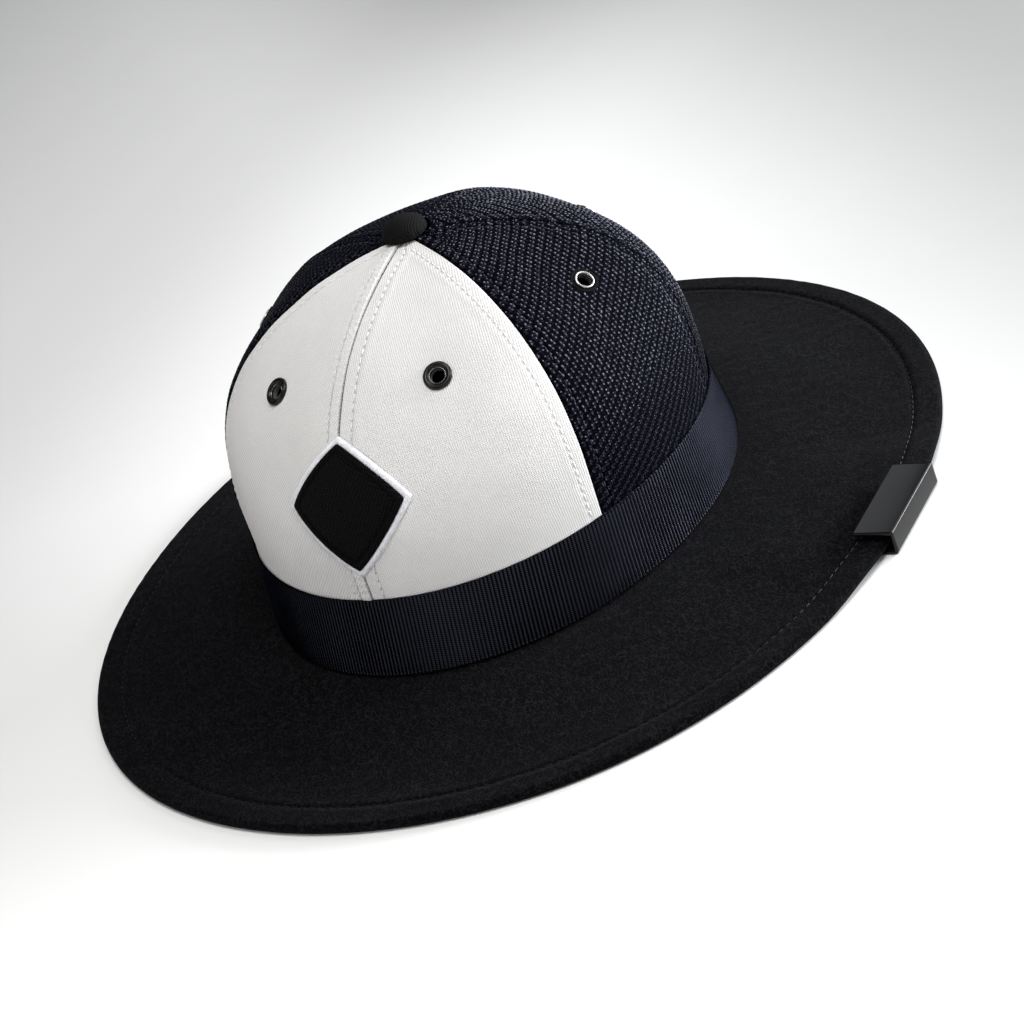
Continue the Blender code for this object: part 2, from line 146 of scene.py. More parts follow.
def off_angle(angle, middle=0.0):
    """How far an angle is from the middle, either way round."""
    return np.abs((angle - middle + np.pi) % FULL_TURN - np.pi)


def length(v):
    return np.linalg.norm(v, axis=-1)


def unit(v):
    return v / np.maximum(length(v)[..., None], 1e-12)


def lengths_along(path):
    return np.concatenate([[0], np.cumsum(length(np.diff(path, axis=0)))])


def even_steps(path, turn, count):
    """Turns that are evenly spaced along a closed path, and the path's length."""
    lengths = lengths_along(path)
    return np.interp(np.linspace(0, lengths[-1], count, endpoint=False), lengths, turn), lengths[-1]


def swell(points, size, seed):
    """A smooth random field of about -1 to 1, with hills this far apart."""
    rng = np.random.default_rng(seed)
    ways = unit(rng.normal(size=(9, 3))) * FULL_TURN / size
    return np.sin(points @ ways.T + rng.uniform(0, FULL_TURN, 9)).sum(-1) / 3


def ribbon_top(angle):
    return RIBBON_HEIGHT - RIBBON_DIP * np.cos(2 * angle)


def crown(angle, climb, out=None):
    """Points of the smooth crown, or at a distance outside it."""
    angle, climb = np.broadcast_arrays(np.asarray(angle, float), np.asarray(climb, float))
    low, turn = np.clip(climb, 0, 1), np.clip(climb - 1, 0, 1) * np.pi / 2
    sideways = np.sin(angle) ** 2
    forward = np.cos(angle) > 0
    above, beside = (
        np.where(forward, front, back) * (1 - sideways) + side * sideways
        for front, side, back in zip(*DOME_EXPONENTS.values())
    )
    off_front = off_angle(angle)
    peaks = np.cos(FULL_TURN * np.interp(off_front, SEAMS, range(4)))
    fuller = np.sin(2 * turn) * (np.interp(off_front, SEAMS, SEAM_PEAK_SHARES) * peaks)
    reach = np.clip(np.cos(turn), 0, 1) ** (2 / above) * (1 + fuller)
    rise = np.sin(turn) ** (2 / beside)
    half = [np.where(climb <= 1, FOOT[i] + (CROWN[i] - FOOT[i]) * low, CROWN[i] * reach) for i in (0, 1)]
    top = ribbon_top(angle)
    height = BRIM_TOP + (top * low + (CROWN_HEIGHT - top) * rise)
    points = np.stack([half[0] * np.sin(angle), APEX_BACK * rise - half[1] * np.cos(angle), height], -1)
    return points if out is None else points + crown_normal(angle, climb) * out[..., None]


def crown_normal(angle, climb):
    step = 1e-3
    low = np.where(climb <= 1, climb - step, climb)
    along = crown(angle + step, climb) - crown(angle - step, climb)
    return unit(np.cross(along, crown(angle, low + step) - crown(angle, low)))


# Meshes

def grid_faces(rows, columns, ring=False):
    r, c = np.meshgrid(np.arange(rows - 1), np.arange(columns - (0 if ring else 1)), indexing="ij")
    n = (c + 1) % columns
    quads = [r * columns + c, r * columns + n, (r + 1) * columns + n, (r + 1) * columns + c]
    return np.stack(quads, -1).reshape(-1, 4)


def kept_faces(keep):
    """The faces of a grid whose points are all kept."""
    faces = grid_faces(*keep.shape)
    return faces[keep.ravel()[faces].all(1)]


def ring_faces(rows, columns, closed=False, flip=True):
    """Faces between rings of points, and from the last to the first if closed."""
    faces = [grid_faces(rows, columns, ring=True)]
    if closed:
        k, last = np.arange(columns), (rows - 1) * columns
        n = (k + 1) % columns
        faces.append(np.stack([k + last, n + last, n, k], -1))
    return [f[:, ::-1] if flip else f for f in faces]


def new_object(name, data):
    thing = bpy.data.objects.new(name, data)
    bpy.context.scene.collection.objects.link(thing)
    return thing


def add_piece(name, points, faces, material, slot, *nodes, grain=None):
    """A smooth mesh in place of these nodes; grain holds each point's place on the cloth and its shade."""
    mesh = bpy.data.meshes.new(name)
    mesh.from_pydata(points.reshape(-1, 3).tolist(), [], [f for part in faces for f in part.tolist()])
    mesh.shade_smooth()
    if grain is not None:
        layer = mesh.attributes.new("grain", "FLOAT_VECTOR", "POINT")
        layer.data.foreach_set("vector", np.ascontiguousarray(grain, np.float32).ravel())
    mesh.materials.append(material)
    piece = new_object(name, mesh)
    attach(piece, "root")
    if nodes:
        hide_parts(*nodes)
    return piece


def add_rings(name, points, material, slot, *nodes, grain=None, closed=False, flip=True):
    add_piece(name, points, ring_faces(*points.shape[:2], closed, flip), material, slot, *nodes, grain=grain)


def turned_points(profile, segments, place):
    """A profile of (radius, height) turned about the Z axis of a place, a 4x4 matrix."""
    turn = turns_round(segments)
    r, z = np.array(profile, float).T
    local = np.stack([r[:, None] * np.cos(turn), r[:, None] * np.sin(turn), z[:, None] + 0 * turn], -1)
    return local @ place[:3, :3].T + place[:3, 3]


def thread_parts(starts, ends, outward, radius, lift=0.25):
    """Short threads whose ends dive into the cloth: points and faces."""
    sides = 6
    along = ends - starts
    side = unit(np.cross(outward, along))
    share = np.array([0.0, 0.1, 0.3, 0.7, 0.9, 1.0])
    fat = np.array([0.35, 0.8, 1.0, 1.0, 0.8, 0.35]) * radius
    high = (np.array([-1.0, -0.1, 0.25, 0.25, -0.1, -1.0]) + lift) * radius
    centre = starts[:, None] + along[:, None] * share[:, None]
    centre = centre + outward[:, None] * high[:, None]
    turn = turns_round(sides)[:, None]
    ring = side[:, None] * np.cos(turn) + 0.8 * outward[:, None] * np.sin(turn)
    points = centre[:, :, None] + ring[:, None] * fat[:, None, None]
    count = len(share) * sides
    caps = np.stack([np.arange(sides)[::-1], np.arange(sides) + count - sides])
    faces = [repeated(part, len(starts), count) for part in (grid_faces(len(share), sides, ring=True), caps)]
    return points.reshape(-1, 3), faces


def repeated(faces, copies, points):
    """The same faces on each copy of a shape that has this many points."""
    return (faces[None] + (np.arange(copies) * points)[:, None, None]).reshape(-1, faces.shape[-1])


def join_parts(parts):
    points, faces, first = [], [], 0
    for p, fs in parts:
        points.append(p.reshape(-1, 3))
        faces += [f + first for f in fs]
        first += len(points[-1])
    return np.concatenate(points), faces


# Materials

class Socket:
    """A node's output, on which arithmetic adds Math nodes."""

    def __init__(self, tree, output):
        self.tree, self.output = tree, output

    def math(self, operation, *others):
        return add(self.tree, "Math", dict(enumerate((self, *others))), operation=operation)

    def __add__(self, other):
        return self.math("ADD", other)

    def __sub__(self, other):
        return self.math("SUBTRACT", other)

    def __mul__(self, other):
        return self.math("MULTIPLY", other)


def add(tree, kind, inputs=(), output=0, **settings):
    """A new node with these inputs, each a value or a Socket; returns one of its outputs."""
    node = tree.nodes.new("ShaderNode" + kind)
    for key, value in settings.items():
        setattr(node, key, value)
    for key, value in dict(inputs).items():
        put(value, node.inputs[key])
    return Socket(tree, node.outputs[output])


def paint(shader, colour):
    put(colour, shader.inputs["Base Color"])


def put(value, socket):
    if isinstance(value, Socket):
        value.tree.links.new(value.output, socket)
    else:
        socket.default_value = value


def grey(value, blue=None):
    return value, value, value if blue is None else blue


def mix_colour(share, a, b):
    node = share.tree.nodes.new("ShaderNodeMix")
    node.data_type = "RGBA"
    put(share, node.inputs["Factor"])
    for socket, value in zip([s for s in node.inputs if s.type == "RGBA"], (a, b)):
        put(value if isinstance(value, Socket) else (*value, 1), socket)
    return Socket(share.tree, [s for s in node.outputs if s.type == "RGBA"][0])


def between(value, low, high, to_low=0.0, to_high=1.0):
    inputs = {0: value, 1: low, 2: high, 3: to_low, 4: to_high}
    return add(value.tree, "MapRange", inputs, interpolation_type="SMOOTHSTEP")


def new_material(name, **sockets):
    material = bpy.data.materials.new(name)
    material.use_nodes = True
    shader = material.node_tree.nodes["Principled BSDF"]
    for key, value in sockets.items():
        shader.inputs[key.replace("_", " ")].default_value = value
    return material, material.node_tree, shader


def object_place(tree):
    return add(tree, "TexCoord", output="Object")


def dot(vector, way):
    return add(vector.tree, "VectorMath", {0: vector, 1: way}, "Value", operation="DOT_PRODUCT")


def on_cloth(tree, across, up, shade=0.0):
    """A sum of the cloth's coordinates: across and up, each per metre, and its shade."""
    return dot(add(tree, "Attribute", output="Vector", attribute_name="grain"), (across, up, shade))


def cloth_shade(tree):
    return on_cloth(tree, 0, 0, 1.0)


def wave(repeats):
    return (repeats * FULL_TURN).math("SINE")


def place_noise(tree, scale, detail=4.0, rough=0.5, distortion=0.0, place=None):
    place = place or object_place(tree)
    inputs = {"Vector": place, "Scale": scale, "Detail": detail, "Roughness": rough, "Distortion": distortion}
    return add(tree, "TexNoise", inputs)


def bump(shader, height, distance, strength=1.0, below=None):
    inputs = {"Height": height, "Distance": distance, "Strength": strength}
    if below:
        inputs["Normal"] = below
    normal = add(height.tree, "Bump", inputs)
    put(normal, shader.inputs["Normal"])
    return normal


def felt_material(name, dark, light, fuzz):
    """Pressed wool: curly fibres over a mottled mat, with a soft sheen."""
    material, tree, shader = new_material(
        name, Roughness=0.9, Specular_IOR_Level=0.02, Sheen_Weight=fuzz, Sheen_Roughness=0.5
    )
    shader.inputs["Sheen Tint"].default_value = (0.80, 0.82, 0.90, 1)
    nap = (math.sin(NAP_ANGLE), -math.cos(NAP_ANGLE), 0.0)
    place = object_place(tree)
    back = add(tree, "VectorMath", {0: nap, "Scale": dot(place, nap) * -NAP_STRETCH}, operation="SCALE")
    brushed = add(tree, "VectorMath", {0: place, 1: back}, operation="ADD")
    curl = None
    for scale, level in ((560.0, 0.44), (700.0, 0.56), (880.0, 0.47)):
        off_line = (place_noise(tree, scale, 0.0, place=brushed) - level).math("ABSOLUTE")
        broken = between(place_noise(tree, 0.83 * scale, 0.0, 0.5, 0.6, brushed), 0.32, 0.50)
        fibre = between(off_line, 0.008, 0.048, 1.0, 0.0) * broken
        curl = curl.math("MAXIMUM", fibre) if curl else fibre
    patches = between(place_noise(tree, 55.0, 3.0), 0.35, 0.7)
    fine = place_noise(tree, 1500.0, 1.0, 0.6)
    share = curl * (patches * 0.25 + 0.75) * 0.92 + fine * 0.30
    paint(shader, mix_colour(share, dark, light))
    bump(shader, curl, 0.00008, 0.6, bump(shader, fine, 0.00006, 0.6))
    return material


def twill_material(name, low, high, pitch, depth, lean, floating=0.75, sheen=0.05):
    """Twill: slanting ribs, each broken into short floats, and painted shade in the folds and stitch holes.
    """
    material, tree, shader = new_material(name, Roughness=0.8, Specular_IOR_Level=0.06, Sheen_Weight=sheen)
    c, s = math.cos(math.radians(lean)), math.sin(math.radians(lean))
    float_pitch = 0.72 * pitch
    wander = place_noise(tree, 150.0, 2.0) - 0.5
    rib = wave(on_cloth(tree, c / pitch, s / pitch) + wander)
    floats = wave(on_cloth(tree, -s / float_pitch, c / float_pitch) + wander)
    height = rib + floats * floating + place_noise(tree, 1500.0, 2.0) * 1.2
    share = between(height, -1.4, 1.7) * 0.75 + place_noise(tree, 38.0, 5.0, 0.6) * 0.25
    in_shade = tuple(0.12 * v for v in low)
    paint(shader, mix_colour(cloth_shade(tree), mix_colour(share, low, high), in_shade))
    bump(shader, height, depth)
    return material


def knit_material(name):
    """The ground of the knit: leaning columns of dark yarn, upright links between them, holes, and painted
    shade at the seams.
    """
    material, tree, shader = new_material(name, Roughness=0.85, Specular_IOR_Level=0.02)
    wander = (place_noise(tree, 260.0, 2.0) - 0.5) * 0.7
    column = wave(on_cloth(tree, 1 / WALE_PITCH, 0) + (wander + 0.25))
    links = wave(on_cloth(tree, -0.53 / KNOT_ROW, 1 / KNOT_ROW) + (wander + 0.25))
    cross = wave(on_cloth(tree, 2 / WALE_PITCH, 1 / KNOT_ROW) + wander)
    yarn = between(column * 0.7 + links * 0.6 + cross * 0.5, -0.4, 1.5)
    fuzz = place_noise(tree, 1900.0, 2.0)
    colour = mix_colour(yarn * (fuzz + 0.2), (0.0007, 0.0008, 0.0018), (0.0150, 0.0160, 0.0290))
    paint(shader, mix_colour(cloth_shade(tree), colour, grey(0.0004, 0.0007)))
    bump(shader, yarn, 0.0004, 0.8, bump(shader, fuzz, 0.00005, 0.5))
    return material


def yarn_material(name, dark, light, roughness=0.5, sheen=0.02, shaded=False):
    """Twisted yarn or thread, with a tone of its own from place to place, and, if shaded, painted light and
    shade from its grain.
    """
    material, tree, shader = new_material(
        name, Roughness=roughness, Specular_IOR_Level=0.15, Sheen_Weight=sheen
    )
    colour = mix_colour(between(place_noise(tree, 420.0, 2.0), 0.3, 0.7), dark, light)
    # If shaded, the grain's painted shade darkens the colour towards a tenth of the dark tone.
    if shaded:
        colour = mix_colour(cloth_shade(tree), colour, tuple(0.1 * v for v in dark))
    paint(shader, colour)
    bump(shader, place_noise(tree, 3200.0, 1.0), 0.00004, 0.7)
    return material


def ribbon_material(name):
    """Ribbed ribbon: fine threads across the modelled ribs, a silky sheen on them, and rougher grooves
    darkened with painted shade.
    """
    material, tree, shader = new_material(
        name, Metallic=1.0, Specular_IOR_Level=0.5, Anisotropic=1.0, Anisotropic_Rotation=0.25
    )
    shader.inputs["Specular Tint"].default_value = (0.39, 0.395, 0.40, 1)
    wander = place_noise(tree, 160.0, 2.0) * 0.8
    beads = wave(on_cloth(tree, 0.5 / RIB_PITCH, 1 / RIBBON_WEFT) + wander)
    ridge = cloth_shade(tree)
    # Painted shade: the base colour falls to near black with the rib's height, so the grooves between ribs
    # are dark.
    share = between(beads, -1.6, 0.9) * (place_noise(tree, 60.0, 4.0) + 0.5) * (ridge * ridge)
    paint(shader, mix_colour(share, grey(0.0003, 0.0005), (0.0480, 0.0510, 0.0690)))
    rough = between(ridge, 0.2, 0.95, 0.52, 0.30) + place_noise(tree, 1800.0, 1.0) * 0.05
    put(rough, shader.inputs["Roughness"])
    bump(shader, beads, 0.000012)
    return material


def metal_material(name, dark, light, roughness, metallic, brush=None, grit=0.16, gloss=0.5):
    """Metal or enamel with faint wear; brush is the way that its fine scratches run."""
    material, tree, shader = new_material(name, Metallic=metallic, Specular_IOR_Level=gloss)
    place = object_place(tree)
    if brush:
        place = add(tree, "Mapping", {"Vector": place, "Scale": brush})
    scratches = place_noise(tree, 900.0, 5.0, 0.6, place=place)
    paint(shader, mix_colour(place_noise(tree, 130.0), dark, light))
    put(scratches * grit + (roughness - grit / 2), shader.inputs["Roughness"])
    bump(shader, scratches, 0.0001 * grit, 0.5)
    return material


def floor_material():
    """Pale matte floor, painted greyer towards the back and the wearer's right: painted shade where the light
    falls off.
    """
    material, tree, shader = new_material("floor", Roughness=0.9, Specular_IOR_Level=0.1)
    share = place_noise(tree, 30.0, 3.0) * 0.02
    for way, start, stop, amount in (((0.72, 0.69, 0), 0.0, 0.36, 0.88), ((-1, 0, 0), 0.08, 0.36, 0.42)):
        share = share + between(dot(object_place(tree), way), start, stop, 0.0, amount)
    paint(shader, mix_colour(share, grey(0.93, 0.915), (0.24, 0.242, 0.235)))
    return material


# Crown panels

CLIMBS = np.linspace(0, 2, 401)
SHANK_CLIMB = 1.955
EYELET_HOLE = 0.0031
EYELET_HOLE_INSIDE = 0.0026
TURNED_EDGE = 0.00110
NEAR_SEAM = 0.001 * np.array([
    0.03, 0.08, 0.16, 0.28, 0.45, 0.70, 1.05, 1.5, 1.95, 2.4, 2.9, 3.35,
    3.75, 4.1, 4.45, 4.75, 5.05, 5.35, 5.7, 6.1, 6.6, 7.2, 8.0, 9.0,
])
NEAR_SEAM_ROOM = 0.0125
ROW_STEPS = {"front": 0.00052, "side": 0.00078, "back": 0.00078}
# A seam's swelling, gathers, distance to its stitches, turned edge, painted shade in its fold, stitch groove
# and painted shade at its holes
SEAM_STYLES = {
    name: dict(zip(("puff", "pucker", "stitch", "turn", "shade", "sink", "holes"), values))
    for name, values in {
        "front_middle_right": (0.00100, 0.00013, 0.0050, 0.0006, 0.62, 0.00016, 0.34),
        "front_middle_left": (0.00010, 0.00004, 0.0050, 0.0004, 0.62, 0.00014, 0.50),
        "front_outer": (0.00008, 0.00002, 0.0044, 0.0006, 0.40, 0.00006, 0.22),
        "knit": (0.00020, 0.00006, 0.0044, 0.0010, 0.80, 0.00038, 0.62),
    }.items()
}


class Panel:
    """One panel of the crown, with its widths and lengths along the cloth."""

    def __init__(self, place, side):
        first = {"front": 0, "side": 1, "back": 2}[place]
        sign = 1 if side == "left" else -1
        self.place, self.side, self.sign = place, side, sign
        inner, outer = SEAMS[first:first + 2]
        self.start, self.end = sorted((sign * inner, sign * outer))
        self.middle = (self.start + self.end) / 2
        points = crown(np.linspace(self.start, self.end, 33), CLIMBS[:, None])
        self.half_widths = length(np.diff(points, axis=1)).sum(1) / 2
        lengths = lengths_along(crown(self.middle, CLIMBS))
        self.lengths = lengths - np.interp(1, CLIMBS, lengths)
        seams = ("front_middle_" + side, "front_outer") if place == "front" else ("knit", "knit")
        self.seams = seams[::sign]
        share, climb = EYELETS[place]
        self.eyelet = (sign * (inner + (outer - inner) * share), climb)
        self.seed = 10 * first + (1 if sign > 0 else 2)

    def name(self, part):
        return f"{self.place}_{part}_{self.side}"

    def half(self, climb):
        return np.interp(climb, CLIMBS, self.half_widths)

    def along(self, climb):
        return np.interp(climb, CLIMBS, self.lengths)

    def climb(self, along):
        return np.interp(along, self.lengths, CLIMBS)

    def angle(self, across, climb):
        return self.middle + across / self.half(climb) * (self.end - self.start) / 2

    def stitch_distance(self, seam, climb):
        return np.minimum(SEAM_STYLES[seam]["stitch"], 0.8 * self.half(climb))

    def on_bias(self, across, along):
        """The place across and along the knit's columns, which lean to the back."""
        back, c, s = self.sign * across, math.cos(WALE_LEAN), math.sin(WALE_LEAN)
        return s * along - c * back, s * back + c * along

    def off_bias(self, over, on):
        c, s = math.cos(WALE_LEAN), math.sin(WALE_LEAN)
        return self.sign * (s * on - c * over), s * over + c * on

    def by_seams(self, across, climb):
        """Each seam's style, with the distances from it and from it to its row of stitches."""
        half = self.half(climb)
        for distance, seam in zip((half + across, half - across), self.seams):
            yield SEAM_STYLES[seam], distance, self.stitch_distance(seam, climb)

    def between_stitches(self, along):
        """1 halfway between two stitches of a row, and -1 in the middle of each."""
        return -np.cos(FULL_TURN * (along - STITCH_START - STITCH_LENGTH / 2) / STITCH_PITCH)

    def shade(self, across, climb):
        """Painted shade: where the cloth's colour is darkened in a fold and at the holes of a row of
        stitches.
        """
        gaps = 0.55 + 0.45 * self.between_stitches(self.along(climb))
        dark = 0.0 * across
        for style, distance, stitch in self.by_seams(across, climb):
            dark = np.maximum(dark, style["shade"] * hump(distance, 0, 0.00030))
            dark = np.maximum(dark, style["holes"] * gaps * hump(distance, stitch, 0.00034))
            dark = np.maximum(dark, 0.35 * style["holes"] * hump(distance, stitch + 0.00045, 0.00030))
        return dark

    def relief(self, across, climb):
        """How far the cloth stands out of the smooth crown."""
        along = self.along(climb)
        points = crown(self.angle(across, climb), climb)
        drift = 1.6 * swell(points, 0.012, self.seed + 5)
        ties = 0.65 + 0.35 * self.between_stitches(along)
        height = 0.00018 * swell(points, 0.055, self.seed) + 0.00007 * swell(points, 0.017, self.seed + 3)
        for style, distance, stitch in self.by_seams(across, climb):
            edge = np.clip(1 - distance / style["turn"], 0, 1)
            height = height - TURNED_EDGE * (1 - np.sqrt(1 - edge**2))
            height = height + style["puff"] * (1 - smooth((distance - stitch + 0.0014) / 0.0014))
            height = height - style["sink"] * ties * hump(distance, stitch, 0.0006)
            height = height + 0.00012 * hump(distance, stitch + 0.0020, 0.0013)
            gathers = 0.6 * np.sin(FULL_TURN * along / STITCH_PITCH + drift)
            gathers = gathers + 0.8 * np.sin(FULL_TURN * (along - 0.5 * distance) / 0.0017 + 2 * drift)
            height = height + style["pucker"] * gathers * (1 - smooth((distance - stitch - 0.001) / 0.003))
        return height * np.clip((climb - 0.97) / 0.03, 0, 1)

    def points(self, across, climb):
        return crown(self.angle(across, climb), climb, self.relief(across, climb))


def panel_columns(half):
    """Distances across a row, closer together near the seams."""
    shrink = np.minimum(1, half / NEAR_SEAM_ROOM)[:, None]
    low = -half[:, None] + NEAR_SEAM * shrink
    middle = np.linspace(0, 1, 44)[1:-1]
    inner = low[:, -1:] + (-2 * low[:, -1:]) * middle
    return np.concatenate([low, inner, -low[:, ::-1]], axis=1)


def panel_rows(panel):
    dome = panel.climb(np.arange(0, panel.along(SHANK_CLIMB), ROW_STEPS[panel.place]))
    return np.concatenate([[0.09, 0.4, 0.8, 0.94, 0.97, 0.985], dome[:-1], [SHANK_CLIMB]])


def build_panel(panel, material, slot):
    """The outer face with edges turned in at the seams, and a plain inner face."""
    climbs = panel_rows(panel)
    across = panel_columns(panel.half(climbs))
    climb = np.broadcast_to(climbs[:, None], across.shape)
    outer = panel.points(across, climb)
    keep = eyelet_clear(panel, outer, EYELET_HOLE)
    along = panel.along(climb)
    flat = (across, along) if panel.place == "front" else panel.on_bias(across, along)
    grain = np.stack([*flat, panel.shade(across, climb)], -1)
    inward = crown_normal(panel.angle(across, climb), climb) * -TURNED_EDGE
    outer, grain, keep, inward = (
        np.concatenate([a[:, :1], a, a[:, -1:]], axis=1) for a in (outer, grain, keep, inward)
    )
    outer[:, [0, -1]] += inward[:, [0, -1]] * 0.35

    inside = np.interp(np.linspace(0, 1, 42), np.linspace(0, 1, len(climbs)), climbs)
    inner_climb, share = np.meshgrid(inside, np.linspace(-1, 1, 25), indexing="ij")
    inner_across = panel.half(inner_climb) * share * 0.999
    below = np.full(inner_climb.shape, -PANEL_WALL)
    inner = crown(panel.angle(inner_across, inner_climb), inner_climb, below)
    inner_faces = kept_faces(eyelet_clear(panel, inner, EYELET_HOLE_INSIDE))[:, ::-1] + keep.size
    inner_grain = np.stack([inner_across, panel.along(inner_climb), 0 * inner_across], -1)

    points = np.concatenate([outer.reshape(-1, 3), inner.reshape(-1, 3)])
    grain = np.concatenate([grain.reshape(-1, 3), inner_grain.reshape(-1, 3)])
    faces = [kept_faces(keep), inner_faces]
    add_piece(panel.name("cloth"), points, faces, material, slot, panel.name("panel"), grain=grain)


def eyelet_clear(panel, points, radius):
    return length(points - crown(*panel.eyelet)) > radius


def kept(keep, *arrays):
    return [a[keep] for a in arrays]


def build_knots(panel, material):
    """The knit's raised loops: slanting pairs in columns, small near the ribbon, askew near the seams."""
    top = panel.along(SHANK_CLIMB)
    wale, row, hand = np.meshgrid(np.arange(-32, 33), np.arange(-70, 71), (-1, 1), indexing="ij")
    wale, row, hand = wale.ravel(), row.ravel(), hand.ravel()
    across, along = panel.off_bias(wale * WALE_PITCH, (row + KNOT_STAGGER * wale) * KNOT_ROW)
    along = along + top / 2
    across, along, hand = kept((along > 0.0002) & (along < top), across, along, hand)
    plump_and_lit = KNOT_SIZE_AND_PAINTED_LIGHT[panel.side]
    rng = np.random.default_rng(panel.seed)
    spread = KNOT_SPREAD * (0.5 + 0.5 * smooth((along - 0.005) / 0.035))
    near_seam = 1 - (panel.half(panel.climb(along)) - np.abs(across)) / 0.005
    loose = np.maximum(smooth((along - top + 0.024) / 0.014), smooth(near_seam))
    scatter = 0.00010 + 0.00022 * loose
    along = along + hand * spread + rng.normal(0, 1, len(along)) * scatter
    across = across + rng.normal(0, 1, len(along)) * scatter
    climb = panel.climb(along)
    keep = (np.abs(across) < panel.half(climb) - 0.0005) & (along > 0.0006) & (climb < SHANK_CLIMB)
    across, along, climb, loose = kept(keep, across, along, climb, loose)
    place = panel.points(across, climb)
    off_button = length(place - APEX) > BUTTON_RADIUS - 0.001
    keep = eyelet_clear(panel, place, EYELET_RADIUS - 0.0001) & off_button
    across, along, climb, loose, place = kept(keep, across, along, climb, loose, place)
    count = len(across)
    outward = crown_normal(panel.angle(across, climb), climb)
    up = unit(panel.points(across, panel.climb(along + 0.0004)) - place)
    side = np.cross(up, outward)
    slant = np.radians(rng.normal(0, 1, count) * (16 + 40 * loose))
    long_way = up * np.cos(slant)[:, None] + side * np.sin(slant)[:, None]
    short_way = np.cross(outward, long_way)
    height = smooth((along - 0.004) / 0.036)
    size = rng.uniform(0.80, 1.15, count) * (0.68 + 0.32 * height) * (1 - 0.15 * loose) * plump_and_lit
    stretch = (0.00036 + (0.00006 + 0.00034 * rng.random(count) ** 3) * height)[:, None]
    sides = 6
    turn = turns_round(sides)[:, None]
    loop = np.cos(turn) * (stretch * long_way)[:, None] + np.sin(turn) * 0.00033 * short_way[:, None]
    out = outward[:, None]
    points = np.concatenate([loop - 0.00010 * out, 0.80 * loop + 0.00012 * out, 0.00019 * out], 1)
    points = points * size[:, None, None] + place[:, None]
    k = np.arange(sides)
    n = (k + 1) % sides
    walls = np.stack([k, n, n + sides, k + sides], -1)
    tops = np.stack([k + sides, n + sides, 0 * k + 2 * sides], -1)
    faces = [repeated(part, count, 2 * sides + 1) for part in (walls, tops)]
    # Painted shade on the loops: darker on the wearer's right and towards the ribbon; they also darken at
    # random, and a little near the seams and the top.
    dark = 1 - plump_and_lit + 0.50 * (1 - height) + 0.55 * rng.random(count) ** 2 + 0.15 * loose
    grain = np.zeros(points.shape)
    grain[..., 2] = np.clip(dark, 0, 0.85)[:, None]
    add_piece(panel.name("knots"), points, faces, material, "crown_knit", grain=grain)


def seam_threads(panel, which):
    """The row of stitches beside one seam of a panel."""
    seam = panel.seams[which]
    starts = np.arange(STITCH_START, panel.along(STITCH_END_CLIMB), STITCH_PITCH)
    ends = []
    for offset in (0.0, STITCH_LENGTH):
        climb = panel.climb(starts + offset)
        distance = panel.half(climb) - panel.stitch_distance(seam, climb)
        ends.append((distance if which else -distance, climb))
    outward = crown_normal(panel.angle(*ends[0]), ends[0][1])
    lift = 0.9 if seam.startswith("front_middle") else 0.25
    return thread_parts(*(panel.points(*end) for end in ends), outward, STITCH_RADIUS, lift)


# Ribbon

RIBBON_FOOT = 0.0011
RIBBON_FACE = 0.00036
RIB_DEPTH = 0.00025
RIB_PROFILE = (0.0, 0.66, 0.98, 1.0, 0.72)
TOOTH_PROFILE = (0.0, 0.6, 1.0, 0.9, 0.4)
RIBBON_EDGE = (0, 0.00010, 0.00028, 0.00050, 0.00085, 0.0013)
RIBBON_LIP = (0.00010, 0.00042, 0.00050, 0.00038, 0.00034, 0.00042)


def oval_turns(count):
    """Angles that are evenly spaced along the ribbon's length, and that length."""
    return even_steps(crown(FINE_TURNS, 0.5), FINE_TURNS, count)


def build_ribbon(material):
    """The ribs run up the ribbon, and end as small teeth over a stitched lip along both edges."""
    ribs = round(oval_turns(8)[1] / RIB_PITCH)
    angle, around = oval_turns(ribs * len(RIB_PROFILE))
    rib, tooth = np.tile(RIB_PROFILE, ribs), np.tile(TOOTH_PROFILE, ribs)
    height = ribbon_top(angle)
    edges = [(e, lip, i / 5) for i, (e, lip) in enumerate(zip(RIBBON_EDGE, RIBBON_LIP))]
    rows = [(RIBBON_FOOT / height, 0, 0)]
    for e, lip, in_share in edges:
        level = RIBBON_FOOT + e - (1 - in_share) * 0.00012 * tooth
        rows.append((level / height, lip, 0.35 + 0.65 * in_share))
    face = RIBBON_HEIGHT - RIBBON_FOOT - 2 * RIBBON_EDGE[-1]
    for i in range(1, 9):
        level = RIBBON_FOOT + RIBBON_EDGE[-1] + face * i / 9
        rows.append((level / RIBBON_HEIGHT + 0 * height, RIBBON_FACE, 1.0))
    for e, lip, in_share in edges[::-1]:
        level = height - e + (1 - in_share) * 0.00014 * tooth
        rows.append((level / height, lip, 0.35 + 0.65 * in_share))
    rows.append((np.ones(len(angle)), 0, 0))
    points, grain = [], []
    for share, base, ribbed in rows:
        on_crown = np.clip(share, 0, 1)
        out = np.full(len(angle), GAP)
        if base:
            out = GAP + base + RIB_DEPTH * rib * ribbed + 0.00010 * swell(crown(angle, on_crown), 0.06, 31)
        points.append(crown(angle, on_crown, out))
        points[-1][:, 2] += np.clip(share - 1, 0, 1) * height
        grain.append(np.stack([np.arange(len(angle)) / len(angle) * around, share * height, rib], -1))
    points, grain = np.stack(points), np.stack(grain)
    add_rings("ribbon", points, material, "ribbon", "hat_band", grain=grain, closed=True, flip=False)


# Brim

def clip_hold(angle, out):
    """How far the clip's lower leg lifts the brim beside it."""
    beyond = off_angle(angle, CLIP_ANGLE) * (FOOT[0] + BRIM_REACH) - CLIP_LENGTH / 2
    held = 1 - smooth((beyond - CLIP_EASE / 3) / CLIP_EASE)
    return (CLIP_WALL + GAP) * held * smooth(out / HEM_START)


